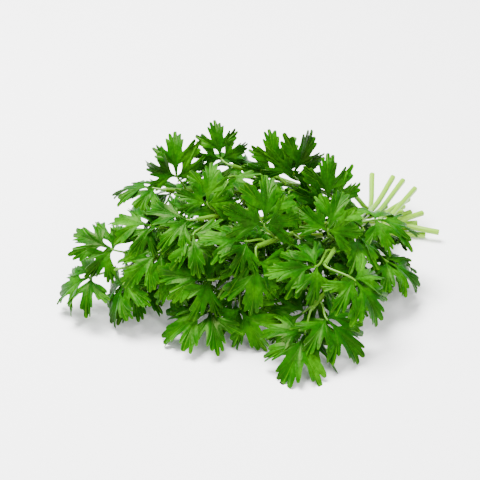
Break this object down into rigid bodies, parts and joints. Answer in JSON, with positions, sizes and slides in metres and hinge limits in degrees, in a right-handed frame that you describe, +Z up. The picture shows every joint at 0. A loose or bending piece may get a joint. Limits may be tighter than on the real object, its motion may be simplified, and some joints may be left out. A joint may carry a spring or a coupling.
{
  "type": "parsley bunch",
  "caption": "Loose bunch of cut flat-leaf parsley lying on its side, with green lobed leaves fanned out from a sheaf of pale green cut stems",
  "frame": {"origin": "on the surface it lies on, under the middle of the bunch's bounding box", "axes": "+Z up from the surface, +X along the bunch's longer side towards the cut ends of the stems, +Y from the front leaves that rest on the surface towards the back"},
  "size_m": [0.2492, 0.2102, 0.0947],
  "materials": {
    "parsley_stem": "satin",
    "parsley_leaf": "satin"
  },
  "bodies": {
    "root": {"back_leaf_end": "parsley_leaf", "back_leaf_left": "parsley_leaf", "back_leaf_right": "parsley_leaf", "back_right_leaf_end": "parsley_leaf", "back_right_leaf_left": "parsley_leaf", "back_right_leaf_right": "parsley_leaf", "back_right_stem": "parsley_stem", "back_stem": "parsley_stem", "far_left_leaf_end": "parsley_leaf", "far_left_leaf_left": "parsley_leaf", "far_left_leaf_right": "parsley_leaf", "far_left_stem": "parsley_stem", "front_leaf_end": "parsley_leaf", "front_leaf_left": "parsley_leaf", "front_leaf_right": "parsley_leaf", "front_left_leaf_end": "parsley_leaf", "front_left_leaf_left": "parsley_leaf", "front_left_leaf_right": "parsley_leaf", "front_left_stem": "parsley_stem", "front_right_leaf_end": "parsley_leaf", "front_right_leaf_left": "parsley_leaf", "front_right_leaf_right": "parsley_leaf", "front_right_stem": "parsley_stem", "front_stem": "parsley_stem", "left_low_leaf_end": "parsley_leaf", "left_low_leaf_left": "parsley_leaf", "left_low_leaf_right": "parsley_leaf", "left_low_stem": "parsley_stem", "left_mid_leaf_end": "parsley_leaf", "left_mid_leaf_left": "parsley_leaf", "left_mid_leaf_right": "parsley_leaf", "left_mid_stem": "parsley_stem", "left_top_leaf_end": "parsley_leaf", "left_top_leaf_left": "parsley_leaf", "left_top_leaf_right": "parsley_leaf", "left_top_stem": "parsley_stem", "left_under_leaf_end": "parsley_leaf", "left_under_leaf_left": "parsley_leaf", "left_under_leaf_right": "parsley_leaf", "left_under_stem": "parsley_stem", "middle_leaf_end": "parsley_leaf", "middle_leaf_left": "parsley_leaf", "middle_leaf_right": "parsley_leaf", "middle_stem": "parsley_stem", "right_leaf_end": "parsley_leaf", "right_leaf_left": "parsley_leaf", "right_leaf_right": "parsley_leaf", "right_low_leaf_end": "parsley_leaf", "right_low_leaf_left": "parsley_leaf", "right_low_leaf_right": "parsley_leaf", "right_low_stem": "parsley_stem", "right_stem": "parsley_stem", "top_leaf_end": "parsley_leaf", "top_leaf_left": "parsley_leaf", "top_leaf_right": "parsley_leaf", "top_right_leaf_end": "parsley_leaf", "top_right_leaf_left": "parsley_leaf", "top_right_leaf_right": "parsley_leaf", "top_right_stem": "parsley_stem", "top_stem": "parsley_stem"}
  },
  "joints": []
}
